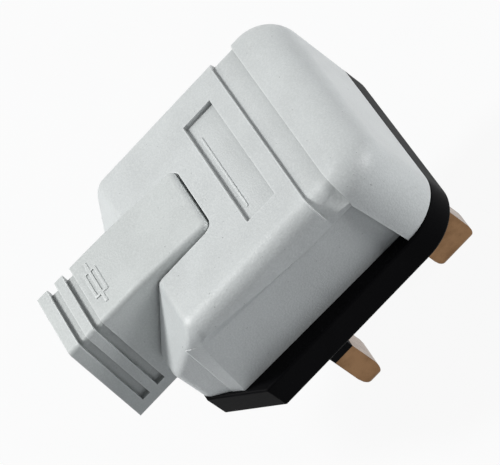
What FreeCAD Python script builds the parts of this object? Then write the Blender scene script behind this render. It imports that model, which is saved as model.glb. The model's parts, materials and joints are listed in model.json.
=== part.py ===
import FreeCAD, Part
import math
import os
import re

import Sketcher

# A rewirable three pin plug with a fuse inside, in millimetres.
# The origin is on the engagement face, at the middle of the square that the pin centres mark.
# +Z points away from the wall, out of the back of the cover. +Y points to the earth pin's end.
# +X is the live side, so the flex comes out towards -Y.

SIZES = (
    ("overcut", 1.0, "how far a cutting tool runs past the face that it cuts"),
    ("pin_pitch", 22.23, "live pin to neutral pin, and the earth pin to their row"),
    ("line_pin_width", 6.35, "live and neutral pins along X"),
    ("line_pin_thickness", 3.97, "live and neutral pins along Y"),
    ("line_pin_length", 18.1, "live and neutral pins below the engagement face"),
    ("earth_pin_width", 7.95, "earth pin along Y"),
    ("earth_pin_thickness", 3.97, "earth pin along X"),
    ("earth_pin_length", 22.73, "earth pin below the engagement face"),
    ("line_tip_long_round", 1.7, "end edges of a line pin along X"),
    ("line_tip_short_round", 1.0, "end edges of a line pin along Y"),
    ("earth_tip_short_round", 1.35, "end edges of the earth pin along X"),
    ("earth_tip_long_round", 0.8, "end edges of the earth pin along Y"),
    ("pin_clearance", 0.05, "pin to its slot in the base, each side"),
    ("insulator_length", 9.5, "insulated length of a line pin below the engagement face"),
    ("insulator_rise", 1.2, "insulator inside the base"),
    ("insulator_wall", 0.7, "wall of the insulator"),
    ("base_width", 47.6, "base across"),
    ("base_earth_end", 19.75, "edge of the base beyond the earth pin, from the origin"),
    ("base_cable_end", 29.6, "edge of the base at the flex, from the origin"),
    ("base_height", 5.2, "base from the engagement face to the seam"),
    ("base_floor", 3.0, "floor of the base"),
    ("base_corner_round", 8.0, "corners at the earth end"),
    ("base_chamfer_width", 8.95, "corner cut at the cable end, along X"),
    ("base_chamfer_length", 9.1, "corner cut at the cable end, along Y"),
    ("base_edge_round", 0.6, "rounding round the engagement face"),
    ("base_seam_round", 0.35, "rounding of the base at the seam"),
    ("base_rim", 5.9, "rim at the sides, that the cover stands on"),
    ("base_end_rim", 2.6, "rim at both ends"),
    ("base_corner_rim", 2.4, "rim at the cut corners, along X"),
    ("cover_height", 23.1, "back face from the engagement face"),
    ("cover_ledge", 1.6, "base beyond the upper sides of the cover"),
    ("cover_wall", 2.2, "wall of the cover"),
    ("cover_chamfer_width", 7.75, "corner cut of the cover, along X"),
    ("cover_chamfer_length", 9.74, "corner cut of the cover, along Y"),
    ("cover_round", 3.3, "roll of the cover's back edges, and its cut corners"),
    ("bevel_foot", 12.4, "height of the lower edge of the bevel at the cable end"),
    ("bevel_run", 9.65, "length of that bevel along Y"),
    ("bevel_round", 1.5, "rounding of the edges round that bevel"),
    ("cap_length", 8.65, "rolled cap at the earth end, along Y"),
    ("cap_inset", 0.6, "cap in from the sides of the base"),
    ("cap_round", 5.4, "roll of the cap's back edge"),
    ("cap_lean", 0.6, "foot of the cap's edge beyond its top, towards the earth end"),
    ("cap_bulge", 0.35, "cap's edge beyond its top at the grip's lip, towards the flex"),
    ("cap_ease", 1.4, "height in which that bulge runs out above the lip"),
    ("groove_run", 4.62, "cross groove between the back and the cap, along Y"),
    ("groove_sink", 0.65, "depth of the cross groove"),
    ("groove_round", 3.0, "long edges of the strip in that groove"),
    ("rail_drop", 4.4, "back of the cover to the rail over a grip, where the groove ends"),
    ("rail_inset", 0.1, "rail in from the side of the cap"),
    ("rail_rise", 2.67, "slope above a rail, up to the strip's rounding, at the cap"),
    ("rail_run", 2.265, "that slope along X, at the cap"),
    ("rail_toe_rise", 2.0, "slope above a rail at the back's edge"),
    ("rail_toe_run", 0.94, "that slope along X, at the back's edge"),
    ("panel_ledge", 2.8, "base beyond the foot of a grip panel, at the cap"),
    ("panel_taper", 1.0, "foot of a panel closes in by this towards the flex"),
    ("panel_lean", 1.15, "panel leans out by this up to its lip"),
    ("panel_wrap", 2.1, "panel round the cut corner, along X"),
    ("panel_edge", 0.3, "bevel of the panel's edge on the cut corner, along X"),
    ("panel_edge_rise", 0.22, "height of that bevel out of the cut corner, along Y"),
    ("panel_proud", 0.84, "corner of the panel out of the cut corner at the seam, along Y"),
    ("lip_drop", 5.1, "back of the cover to the lip over a grip, at the cap"),
    ("lip_step", 0.75, "height of the lip's underside there"),
    ("lip_reach", 0.85, "lip out from the panel there"),
    ("lip_run", 10.1, "crisp part of the lip, from the cap"),
    ("lip_sag", 0.05, "lip lower by this at the end of its crisp part"),
    ("lip_rise", 3.2, "lip higher by this where it has faded, at the flex"),
    ("lip_slope", 2.6, "height of its underside there"),
    ("lip_toe_reach", 1.2, "lip out from the panel there"),
    ("grip_end", 24.0, "where a grip's recess has run out, from the origin"),
    ("label_width", 27.8, "label recess along X"),
    ("label_length", 6.15, "label recess along Y"),
    ("label_centre", 0.22, "middle of the label recess"),
    ("label_sink", 0.8, "depth of the label recess"),
    ("notch_end", 7.7, "inner end of the notch, from the origin"),
    ("notch_round", 2.0, "inner corners of the notch"),
    ("notch_clearance", 0.45, "sleeve to its notch"),
    ("sleeve_side_gap", 0.39, "cable sleeve to the nearer head of a line pin"),
    ("sleeve_reach", 10.1, "sleeve beyond the base"),
    ("sleeve_lean", 1.95, "end face leans back by this"),
    ("sleeve_rise", 0.95, "inner end of the sleeve above the cover's back"),
    ("sleeve_crown_rise", 2.2, "sleeve above the cover's back where its slope eases"),
    ("sleeve_crown_run", 14.0, "inner end of the sleeve to that crown"),
    ("sleeve_end_rise", 2.65, "outer end of the sleeve above the cover's back"),
    ("sleeve_round", 0.95, "rounding of the sleeve's long edges"),
    ("sleeve_bore", 7.8, "bore for the flex"),
    ("sleeve_wall", 1.6, "sleeve under its bore"),
    ("saddle_run", 3.4, "saddle of the base under the sleeve, along Y"),
    ("ring_width", 1.65, "grooves round the sleeve"),
    ("ring_sink", 0.85, "depth of those grooves"),
    ("ring_pitch", 3.4, "from one of them to the next"),
    ("ring_margin", 2.2, "end of the sleeve to the first"),
    ("ring_foot", 1.9, "underside of the sleeve to where they end"),
    ("collar_gap", 2.35, "collar that keeps the sleeve in the plug, to the cover's walls"),
    ("collar_thickness", 2.0, "collar along Y"),
    ("collar_headroom", 0.6, "collar to the inside of the bevel"),
    ("collar_setback", 6.4, "cable end to the collar"),
    ("rib_thickness", 1.2, "ribs of the base at the collar"),
    ("rib_height", 5.0, "ribs of the base above its floor"),
    ("collar_clearance", 0.15, "collar to the outer ribs"),
    ("terminal_height", 10.0, "terminals above the floor of the base"),
    ("terminal_width", 7.2, "terminals across"),
    ("wire_hole", 3.4, "hole for a core"),
    ("wire_height", 5.5, "axis of that hole above the floor"),
    ("terminal_screw", 3.1, "thread of a terminal screw"),
    ("terminal_screw_length", 3.6, "terminal screw below its head"),
    ("screw_head", 5.2, "head of a terminal or grip screw"),
    ("screw_head_height", 1.7, "height of that head"),
    ("slot_width", 0.8, "screwdriver slot"),
    ("slot_sink", 0.9, "depth of that slot"),
    ("thread_clearance", 0.05, "screw to its thread, each side"),
    ("hole_clearance", 0.25, "screw to a plain hole, each side"),
    ("head_inset", 0.4, "head of the neutral pin in from the edges of the pin"),
    ("neutral_screw_shift", 0.6, "neutral terminal's screw out from the middle of its pin"),
    ("live_head_height", 4.0, "head of the live pin above the floor"),
    ("live_head_margin", 1.6, "rivet of the live pin's clip to the edge of that head"),
    ("live_block_length", 5.6, "block of the live terminal along Y"),
    ("live_end_gap", 0.65, "that block to the cover's end wall"),
    ("fuse_length", 25.4, "cartridge fuse"),
    ("fuse_diameter", 6.35, "end caps of the fuse"),
    ("fuse_cap_length", 5.6, "end cap along the fuse"),
    ("fuse_cap_wall", 0.3, "end cap's sheet"),
    ("fuse_side_gap", 0.8, "live terminal to the cover's side wall"),
    ("clip_gauge", 0.5, "sheet of the clips"),
    ("clip_length", 4.2, "clip along the fuse"),
    ("clip_margin", 0.5, "end of the fuse to the clip"),
    ("clip_wrap", 1.6, "arms of a clip above the axis of the fuse"),
    ("clip_foot_run", 2.5, "foot of a clip beyond its arms"),
    ("clip_foot_overhang", 0.6, "foot of a clip beyond the terminal's side"),
    ("rivet_diameter", 1.6, "rivet through the foot"),
    ("rivet_head", 2.2, "head of that rivet"),
    ("rivet_length", 0.8, "rivet below the foot"),
    ("strip_gauge", 1.0, "strip of the live terminal"),
    ("grip_post", 4.2, "posts of the cord grip"),
    ("grip_post_gap", 0.3, "post of the cord grip to the live pin's head"),
    ("grip_gap", 0.7, "sleeve's notch to the cord grip"),
    ("grip_headroom", 0.6, "screws of the cord grip to the cover"),
    ("grip_bar_overhang", 1.9, "bar of the cord grip beyond its posts"),
    ("grip_bar_height", 2.4, "bar of the cord grip"),
    ("grip_screw", 2.5, "thread of a grip screw"),
    ("grip_screw_length", 8.0, "grip screw below its head"),
    ("cover_screw_offset", 3.2, "cover screw, towards the earth pin"),
    ("cover_screw_thread", 3.0, "thread of the cover screw"),
    ("cover_screw_length", 9.0, "cover screw below its head"),
    ("cover_screw_head", 5.6, "head of the cover screw"),
    ("cover_screw_head_height", 1.6, "height of that head"),
    ("cover_screw_sink", 0.4, "head below the engagement face"),
    ("boss_diameter", 7.2, "boss of the cover round the screw"),
    ("insert_diameter", 4.4, "threaded bush in the boss"),
    ("insert_length", 7.0, "length of that bush"),
    ("insert_sink", 0.4, "bush above the end of the boss"),
    ("insert_relief", 2.0, "hole of the boss beyond the bush"),
    ("washer_diameter", 6.4, "fibre washer that keeps the screw"),
    ("washer_thickness", 0.6, "thickness of that washer"),
)

doc = FreeCAD.newDocument("three_pin_plug")
sheet = doc.addObject("Spreadsheet::Sheet", "dims")
for row, (alias, size, note) in enumerate(SIZES, start=1):
    sheet.set(f"A{row}", str(size))
    sheet.setAlias(f"A{row}", alias)
    sheet.set(f"B{row}", note)
doc.recompute()

ALIASES = re.compile(r"\b(" + "|".join(alias for alias, size, note in SIZES) + r")\b")


def bind(item, prop, text):
    """Drives a property of an object with an expression of the sheet's sizes."""
    item.setExpression(prop, ALIASES.sub(r"dims.\1", text))


def new_body(label):
    body = doc.addObject("PartDesign::Body", label)
    body.Label = label
    return body


FIRST_GUESS = 20.0


def draw(body, name, role, lift, loops):
    """A sketch on an origin plane raised by lift. A loop is a list of corners, or a circle (u, v, radius).

    A list of corners starts as a regular ring, and its constraints then take each corner to its place.
    """
    item = body.newObject("Sketcher::SketchObject", name)
    plane = next(f for f in body.Origin.OriginFeatures if f.Role == role)
    item.AttachmentSupport = [(plane, "")]
    item.MapMode = "FlatFace"
    bind(item, "AttachmentOffset.Base.z", lift)

    def place(geometry, point, u, v):
        for kind, text in (("DistanceX", u), ("DistanceY", v)):
            index = item.addConstraint(Sketcher.Constraint(kind, -1, 1, geometry, point, 1.0))
            bind(item, f"Constraints[{index}]", text)

    for loop in loops:
        if isinstance(loop, tuple):
            u, v, radius = loop
            circle = Part.Circle(FreeCAD.Vector(1, 1, 0), FreeCAD.Vector(0, 0, 1), 1.0)
            geometry = item.addGeometry(circle)
            place(geometry, 3, u, v)
            index = item.addConstraint(Sketcher.Constraint("Radius", geometry, 1.0))
            bind(item, f"Constraints[{index}]", radius)
            continue
        count = len(loop)
        turn = 2 * math.pi / count
        ring = [FreeCAD.Vector(math.cos(i * turn), math.sin(i * turn), 0) * FIRST_GUESS for i in range(count)]
        first = None
        for i in range(count):
            geometry = item.addGeometry(Part.LineSegment(ring[i], ring[(i + 1) % count]))
            first = geometry if first is None else first
        for i, (u, v) in enumerate(loop):
            item.addConstraint(Sketcher.Constraint("Coincident", first + i, 2, first + (i + 1) % count, 1))
            place(first + i, 1, u, v)
    return item


def pad(body, name, profile, length, side="One side", back=False):
    item = body.newObject("PartDesign::Pad", name)
    item.Profile = profile
    item.SideType = side
    item.Reversed = back
    bind(item, "Length", length)
    return item


def pocket(body, name, profile, length, side="One side", back=False):
    """A cut, which has to take something away."""
    doc.recompute()
    before = body.Shape.Volume
    item = body.newObject("PartDesign::Pocket", name)
    item.Profile = profile
    item.SideType = side
    item.Reversed = back
    bind(item, "Length", length)
    doc.recompute()
    if body.Shape.Volume > before - 1e-3:
        raise RuntimeError(f"{name} cuts nothing")
    return item


def loft(body, name, first, *others):
    """A solid with straight sides through two or more sketches of as many corners."""
    item = body.newObject("PartDesign::AdditiveLoft", name)
    item.Profile = first
    item.Sections = list(others)
    item.Ruled = True
    return item


def round_edges(body, name, radius, chosen):
    """Rounds the edges of the body's last feature that chosen(edge) picks."""
    doc.recompute()
    last = body.Tip
    names = [f"Edge{i}" for i, edge in enumerate(last.Shape.Edges, start=1) if chosen(edge)]
    if not names:
        raise RuntimeError(f"{name} finds no edge")
    item = body.newObject("PartDesign::Fillet", name)
    item.Base = (last, names)
    bind(item, "Radius", radius)
    return item


def block(name, x, y, z):
    item = doc.addObject("Part::Box", name)
    for prop, axis, (low, high) in (("Length", "x", x), ("Width", "y", y), ("Height", "z", z)):
        bind(item, prop, f"({high}) - ({low})")
        bind(item, f"Placement.Base.{axis}", low)
    return item


TURNS = {
    "x": FreeCAD.Rotation(FreeCAD.Vector(0, 1, 0), 90),
    "y": FreeCAD.Rotation(FreeCAD.Vector(1, 0, 0), -90),
    "z": FreeCAD.Rotation(),
}


def rod(name, radius, centre, span, axis="z"):
    """A cylinder along an axis. centre gives its other two coordinates in the order x, y, z."""
    item = doc.addObject("Part::Cylinder", name)
    item.Placement = FreeCAD.Placement(FreeCAD.Vector(), TURNS[axis])
    bind(item, "Radius", radius)
    bind(item, "Height", f"({span[1]}) - ({span[0]})")
    others = [other for other in "xyz" if other != axis]
    for other, text in zip(others, centre):
        bind(item, f"Placement.Base.{other}", text)
    bind(item, f"Placement.Base.{axis}", span[0])
    return item


def join(name, *items):
    item = doc.addObject("Part::MultiFuse", name)
    item.Shapes = list(items)
    item.Refine = True
    return item


def cut(name, base, tool):
    item = doc.addObject("Part::Cut", name)
    item.Base = base
    item.Tool = tool
    item.Refine = True
    return item


def common(name, base, tool):
    item = doc.addObject("Part::Common", name)
    item.Base = base
    item.Tool = tool
    item.Refine = True
    return item


def ends(edge):
    return [vertex.Point for vertex in edge.Vertexes]


def value(text):
    """The number behind a plain size, for finding edges by their place."""
    return float(getattr(sheet, text))


def near(number, other):
    return abs(number - other) < 1e-4


# Places that several pieces share.
HALF = "(base_width / 2)"
PIN = "(pin_pitch / 2)"
CAP_SIDE = f"({HALF} - cap_inset)"
CAP_START = "(base_earth_end - cap_length)"
GROOVE_START = f"({CAP_START} - groove_run)"
SIDE = f"({HALF} - cover_ledge)"
CORNER_X = f"({SIDE} - cover_chamfer_width)"
CORNER_Y = "(-base_cable_end + cover_chamfer_length)"
PANEL = f"({HALF} - panel_ledge)"
PANEL_TOE = f"({PANEL} - panel_taper)"
LIP = "(cover_height - lip_drop)"
LIP_TOE = f"({LIP} + lip_rise)"
RAIL_TOP = "(cover_height - rail_drop)"
ROOF = "(cover_height - cover_wall)"
ROOM_SIDE = f"({PANEL_TOE} - cover_wall)"
ROOM_END = "(base_earth_end - cover_wall)"
END_ROOM_SIDE = f"({CORNER_X} - cover_wall / 2)"
BEVEL_PITCH = "((cover_height - bevel_foot) / bevel_run)"
BEVEL_TOP = "(-base_cable_end + bevel_run + cover_wall / 2)"
GRIP_SEAT = f"({ROOF} - grip_headroom - screw_head_height - grip_bar_height)"
BORE_Z = f"({GRIP_SEAT} - sleeve_bore / 2)"
SLEEVE_FOOT = f"({BORE_Z} - sleeve_bore / 2 - sleeve_wall)"
SLEEVE_TOP = "(cover_height + sleeve_end_rise)"
SLEEVE_IN = "(-notch_end - notch_clearance)"
SLEEVE_OUT = "(-base_cable_end - sleeve_reach)"
COLLAR_Y = "(-base_cable_end + collar_setback)"
COLLAR_HALF = f"({END_ROOM_SIDE} - collar_gap)"
CLIP_SEAT = "(base_floor + live_head_height)"
FUSE_X = f"({ROOM_SIDE} - fuse_side_gap - terminal_width / 2)"
FUSE_Z = f"({CLIP_SEAT} + clip_gauge + fuse_diameter / 2)"
LIVE_TERMINAL_Y = f"({ROOM_END} - live_end_gap - live_block_length)"
FUSE_HIGH = f"({LIVE_TERMINAL_Y} - clip_margin)"
FUSE_LOW = f"({FUSE_HIGH} - fuse_length)"
TERMINAL_TOP = "(base_floor + terminal_height)"
LIVE_SCREW_Y = f"({LIVE_TERMINAL_Y} + live_block_length / 2)"
NEUTRAL_SCREW_X = f"(-{PIN} - neutral_screw_shift)"
RIVET_X = f"({FUSE_X} - fuse_diameter / 2 - clip_gauge / 2)"
LIVE_HEAD_X = f"({RIVET_X} - live_head_margin)"
NEUTRAL_HEAD_X = f"({PIN} - line_pin_width / 2 + head_inset)"
SLEEVE_HALF = f"(min({LIVE_HEAD_X}; {NEUTRAL_HEAD_X}) - sleeve_side_gap)"
NOTCH_HALF = f"({SLEEVE_HALF} + notch_clearance)"
GRIP_X = f"({LIVE_HEAD_X} - grip_post_gap - grip_post / 2)"
GRIP_Y = "(-notch_end + grip_gap + grip_post / 2)"
BOSS_END = "(base_floor + washer_thickness)"


def cut_corner_y(x):
    """Where the cover's cut corner lies along Y, at x."""
    return f"(-base_cable_end + ({x} - {CORNER_X}) * cover_chamfer_length / cover_chamfer_width)"


def mirrored(corners):
    """A closed outline from its half on +X, given from the cable end to the earth end."""
    return corners + [(f"-({u})", v) for u, v in reversed(corners)]


# Base: a plate with cut corners at the flex and round ones at the earth end, hollowed from inside.
base = new_body("base")
outline = mirrored([
    (f"{HALF} - base_chamfer_width", "-base_cable_end"),
    (HALF, "-base_cable_end + base_chamfer_length"),
    (HALF, "base_earth_end"),
])
pad(base, "BasePlate", draw(base, "BaseOutline", "XY_Plane", "0", [outline]), "base_height")
round_edges(base, "BaseCorners", "base_corner_round", lambda edge: all(
    near(p.y, value("base_earth_end")) for p in ends(edge))
    and near(ends(edge)[0].x, ends(edge)[1].x))
round_edges(base, "BaseRound", "base_edge_round", lambda edge: all(near(p.z, 0) for p in ends(edge)))
round_edges(base, "BaseSeam", "base_seam_round", lambda edge: all(
    near(p.z, value("base_height")) for p in ends(edge)))
hollow = mirrored([
    (f"{HALF} - base_chamfer_width - base_corner_rim", "-base_cable_end + base_end_rim"),
    (f"{HALF} - base_rim", "-base_cable_end + base_chamfer_length + base_corner_rim / 2"),
    (f"{HALF} - base_rim", "base_earth_end - base_end_rim"),
])
pocket(base, "BaseHollow", draw(base, "HollowOutline", "XY_Plane", "base_height", [hollow]),
       "base_height - base_floor")


def rect(u_low, u_high, v_low, v_high):
    return [(u_low, v_low), (u_high, v_low), (u_high, v_high), (u_low, v_high)]


# Saddle under the sleeve, let into the rim where the sleeve leaves the base, and the posts of the cord grip.
trough = rect(f"-{SLEEVE_HALF}", SLEEVE_HALF, "-base_cable_end - overcut", "-base_cable_end + saddle_run")
pocket(base, "SleeveTrough", draw(base, "TroughOutline", "XY_Plane", "base_height", [trough]),
       "base_height - base_floor")
saddle = rect(f"-{SLEEVE_HALF}", SLEEVE_HALF, "-base_cable_end", "-base_cable_end + saddle_run")
pad(base, "SleeveSaddle", draw(base, "SaddleOutline", "XY_Plane", "base_floor", [saddle]),
    f"{SLEEVE_FOOT} - base_floor")
posts = [(f"{sign}{GRIP_X}", GRIP_Y, "grip_post / 2") for sign in ("", "-")]
pad(base, "GripPosts", draw(base, "PostOutline", "XY_Plane", "base_floor", posts),
    f"{GRIP_SEAT} - base_floor")

# Bed of the cord grip, the fuse's plinth and the ribs at the sleeve's collar.
bed = rect("-sleeve_bore / 2", "sleeve_bore / 2", f"{GRIP_Y} - grip_post / 2", f"{GRIP_Y} + grip_post / 2")
pad(base, "GripBed", draw(base, "BedOutline", "XY_Plane", "base_floor", [bed]),
    f"{BORE_Z} - sleeve_bore / 2 - base_floor")
plinth = rect(f"{FUSE_X} - terminal_width / 2", f"{FUSE_X} + terminal_width / 2",
              f"{FUSE_HIGH} - clip_margin - clip_length - clip_foot_run", FUSE_HIGH)
pad(base, "FusePlinth", draw(base, "PlinthOutline", "XY_Plane", "base_floor", [plinth]),
    f"{CLIP_SEAT} - strip_gauge - base_floor")
ribs = []
for sign in (1, -1):
    inner = f"{sign} * {NOTCH_HALF}"
    outer = f"{sign} * {COLLAR_HALF}"
    ribs.append(rect(inner, outer, f"{COLLAR_Y} - collar_clearance - rib_thickness",
                     f"{COLLAR_Y} - collar_clearance"))
    ribs.append(rect(inner, outer, f"{COLLAR_Y} + collar_thickness",
                     f"{COLLAR_Y} + collar_thickness + rib_thickness"))
pad(base, "CollarRibs", draw(base, "RibOutline", "XY_Plane", "base_floor", ribs), "rib_height")

# Slots for the pins, the cover screw's counterbore and the pilot holes of the grip screws.
slots = []
for sign in (1, -1):
    slots.append(rect(f"{sign} * {PIN} - line_pin_width / 2 - pin_clearance",
                      f"{sign} * {PIN} + line_pin_width / 2 + pin_clearance",
                      f"-{PIN} - line_pin_thickness / 2 - pin_clearance",
                      f"-{PIN} + line_pin_thickness / 2 + pin_clearance"))
slots.append(rect("-earth_pin_thickness / 2 - pin_clearance", "earth_pin_thickness / 2 + pin_clearance",
                  f"{PIN} - earth_pin_width / 2 - pin_clearance",
                  f"{PIN} + earth_pin_width / 2 + pin_clearance"))
pocket(base, "PinSlots", draw(base, "SlotOutline", "XY_Plane", "base_floor", slots), "base_floor")
shank = [("0", "cover_screw_offset", "cover_screw_thread / 2 + hole_clearance")]
pocket(base, "ScrewHole", draw(base, "ScrewHoleOutline", "XY_Plane", "base_floor", shank), "base_floor")
sunk = [("0", "cover_screw_offset", "cover_screw_head / 2 + hole_clearance")]
pocket(base, "ScrewCounterbore", draw(base, "CounterboreOutline", "XY_Plane", "0", sunk),
       "cover_screw_sink + cover_screw_head_height", back=True)
pilots = [(f"{sign}{GRIP_X}", GRIP_Y, "grip_screw / 2 + thread_clearance") for sign in ("", "-")]
pocket(base, "GripPilots", draw(base, "PilotOutline", "XY_Plane", GRIP_SEAT, pilots),
       "grip_screw_length + overcut")

# Cover: the back with its bevelled cable end, the sunk strip, the two grips and the rolled cap.
back = new_body("cover_back")
plan = mirrored([(CORNER_X, "-base_cable_end"), (SIDE, CORNER_Y), (SIDE, GROOVE_START)])
pad(back, "BackBlock", draw(back, "BackOutline", "XY_Plane", "base_height", [plan]),
    "cover_height - base_height")


def at_groove(edge):
    groove_start = value("base_earth_end") - value("cap_length") - value("groove_run")
    return all(near(p.y, groove_start) for p in ends(edge))


def is_upright(edge):
    a, b = ends(edge)
    return near(a.x, b.x) and near(a.y, b.y)


def on_back(edge):
    return all(near(p.z, value("cover_height")) for p in ends(edge))


def on_bevel(edge):
    pitch = (value("cover_height") - value("bevel_foot")) / value("bevel_run")
    return all(near(p.z, value("bevel_foot") + pitch * (p.y + value("base_cable_end"))) for p in ends(edge))


round_edges(back, "BackCorners", "cover_round", lambda edge: is_upright(edge) and not at_groove(edge))
round_edges(back, "BackRoll", "cover_round", lambda edge: on_back(edge) and not at_groove(edge))
wedge_top = f"cover_height + overcut * {BEVEL_PITCH}"
wedge = [
    ("-base_cable_end - overcut", f"bevel_foot - overcut * {BEVEL_PITCH}"),
    ("-base_cable_end + bevel_run + overcut", wedge_top),
    ("-base_cable_end - overcut", wedge_top),
]
pocket(back, "CableBevel", draw(back, "BevelOutline", "YZ_Plane", "0", [wedge]), "base_width", "Symmetric")
round_edges(back, "BevelRound", "bevel_round", on_bevel)

# Sunk strip, with a rail on each side that flares out to the cap and closes the groove from below.
strip = new_body("cover_strip")
section = rect(f"-({SIDE} - groove_sink)", f"{SIDE} - groove_sink",
               "base_height", "cover_height - groove_sink")
pad(strip, "StripBlock", draw(strip, "StripSection", "XZ_Plane", f"-({CAP_START} + overcut)", [section]),
    "groove_run + overcut")
round_edges(strip, "StripRound", "groove_round", lambda edge: all(
    near(p.z, value("cover_height") - value("groove_sink")) for p in ends(edge))
    and near(ends(edge)[0].x, ends(edge)[1].x))
rail = [
    (f"{SIDE} - cover_wall", GROOVE_START),
    (SIDE, GROOVE_START),
    (f"{CAP_SIDE} - rail_inset", CAP_START),
    (f"{CAP_SIDE} - rail_inset", f"{CAP_START} + overcut"),
    (f"{SIDE} - cover_wall", f"{CAP_START} + overcut"),
]
rails = [rail, [(f"-({u})", v) for u, v in rail]]
pad(strip, "Rails", draw(strip, "RailOutline", "XY_Plane", "base_height", rails), f"{RAIL_TOP} - base_height")


def rail_slope(label, sign):
    """The slope from a rail up to the strip's rounding, where the groove and the cap's edge fade out."""
    inner = f"({SIDE} - cover_wall)"

    def across(name, y, outer, run, rise):
        corners = [
            (inner, f"{RAIL_TOP} - overcut"),
            (outer, f"{RAIL_TOP} - overcut"),
            (outer, RAIL_TOP),
            (f"{outer} - {run}", f"{RAIL_TOP} + {rise}"),
            (inner, RAIL_TOP),
        ]
        loop = [(f"{sign} * ({u})", v) for u, v in corners]
        return draw(strip, f"{label}_{name}", "XZ_Plane", f"-({y})", [loop])

    loft(strip, label,
         across("at_back", GROOVE_START, SIDE, "rail_toe_run", "rail_toe_rise"),
         across("at_cap", CAP_START, f"({CAP_SIDE} - rail_inset)", "rail_run", "rail_rise"))


rail_slope("RailSlopeNear", 1)
rail_slope("RailSlopeFar", -1)


def grip_recess(label, sign):
    """What a side grip takes away, down to a panel that leans out, with a lip that fades towards the flex."""
    body = new_body(label)

    def across(name, y, foot, lip, step, reach):
        low = "base_height - overcut"
        out = f"{HALF} + overcut"
        corners = [
            (foot, low),
            (f"{foot} + panel_lean", f"{lip} - {step}"),
            (f"{foot} + panel_lean + {reach}", lip),
            (out, lip),
            (out, low),
        ]
        loop = [(f"{sign} * ({u})", v) for u, v in corners]
        return draw(body, f"{label}_{name}", "XZ_Plane", f"-({y})", [loop])

    middle_foot = f"({PANEL} - panel_taper * lip_run / ({CAP_START} + grip_end))"
    middle_lip = f"({LIP} - lip_sag)"
    loft(body, f"{label}_loft",
         across("at_cap", f"{CAP_START} + 2 * overcut", PANEL, LIP, "lip_step", "lip_reach"),
         across("at_middle", f"{CAP_START} - lip_run", middle_foot, middle_lip, "lip_step", "lip_reach"),
         across("at_flex", "-grip_end", PANEL_TOE, LIP_TOE, "lip_slope", "lip_toe_reach"))
    return body


def panel_corner(label, sign):
    """The panel's turn round the cut corner: proud at the seam, flush where the lip begins."""
    body = new_body(label)

    def level(name, z, corner, proud):
        crease = f"({corner} - panel_wrap)"
        crease_y = cut_corner_y(crease)
        corner_y = f"({cut_corner_y(corner)} - {proud})"
        edge = f"({crease} + panel_edge)"
        edge_y = f"({cut_corner_y(edge)} - panel_edge_rise)"
        outer_y = f"{edge_y} + ({SIDE} - {edge}) / (panel_wrap - panel_edge) * ({corner_y} - {edge_y})"
        corners = [
            (crease, crease_y),
            (edge, edge_y),
            (SIDE, outer_y),
            (SIDE, f"{CORNER_Y} + cover_wall"),
            (ROOM_SIDE, f"{CORNER_Y} + cover_wall"),
        ]
        loop = [(f"{sign} * ({u})", v) for u, v in corners]
        return draw(body, f"{label}_{name}", "XY_Plane", z, [loop])

    loft(body, f"{label}_loft",
         level("at_seam", "base_height", PANEL_TOE, "panel_proud"),
         level("at_lip", f"{LIP_TOE} - lip_slope", f"({PANEL_TOE} + panel_lean)", "0"))
    return body


flanks = join("CoverFlanks", back, strip,
              panel_corner("panel_corner_near", 1), panel_corner("panel_corner_far", -1))
gripped = cut("CoverGripNear", flanks, grip_recess("grip_near", 1))
gripped = cut("CoverGrips", gripped, grip_recess("grip_far", -1))

cap = new_body("cover_cap")
cap_edge = f"({CAP_START} - cap_bulge)"
cap_plan = rect(f"-{CAP_SIDE}", CAP_SIDE, f"{cap_edge} - overcut / 2", "base_earth_end")
pad(cap, "CapBlock", draw(cap, "CapOutline", "XY_Plane", "base_height", [cap_plan]),
    "cover_height - base_height")
round_edges(cap, "CapCorners", "base_corner_round - cap_inset", lambda edge: all(
    near(p.y, value("base_earth_end")) for p in ends(edge)) and is_upright(edge))
groove_edge_y = value("base_earth_end") - value("cap_length")
round_edges(cap, "CapRoll", "cap_round", lambda edge: on_back(edge) and not all(
    p.y < groove_edge_y for p in ends(edge)))
ahead = f"{cap_edge} - overcut"
trimmed = [
    (ahead, "base_height - overcut"),
    (f"{CAP_START} + cap_lean", "base_height - overcut"),
    (cap_edge, LIP),
    (CAP_START, f"{LIP} + cap_ease"),
    (CAP_START, "cover_height + overcut"),
    (ahead, "cover_height + overcut"),
]
pocket(cap, "CapEdge", draw(cap, "CapEdgeProfile", "YZ_Plane", "0", [trimmed]), "base_width", "Symmetric")

# The room inside, in one profile for the wide part and one between the cut corners.
room_low = "base_height - overcut"
room_corner = cut_corner_y(f"({ROOM_SIDE} + cover_wall)")
cap_chamfer = "(cap_round - cover_wall)"
wide_profile = [
    (room_corner, room_low),
    (room_corner, f"{ROOF} - ({BEVEL_TOP} - {room_corner}) * {BEVEL_PITCH}"),
    (BEVEL_TOP, ROOF),
    (f"{ROOM_END} - {cap_chamfer}", ROOF),
    (ROOM_END, f"{ROOF} - {cap_chamfer}"),
    (ROOM_END, room_low),
]
room = new_body("cover_room")
pad(room, "WideRoom", draw(room, "WideProfile", "YZ_Plane", "0", [wide_profile]),
    f"2 * {ROOM_SIDE}", "Symmetric")
end_wall = "(-base_cable_end + cover_wall)"
end_profile = [
    (end_wall, room_low),
    (end_wall, f"{ROOF} - ({BEVEL_TOP} - {end_wall}) * {BEVEL_PITCH}"),
    (BEVEL_TOP, ROOF),
    (f"{BEVEL_TOP} + overcut", ROOF),
    (f"{BEVEL_TOP} + overcut", room_low),
]
pad(room, "EndRoom", draw(room, "EndProfile", "YZ_Plane", "0", [end_profile]),
    f"2 * {END_ROOM_SIDE}", "Symmetric")

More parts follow.
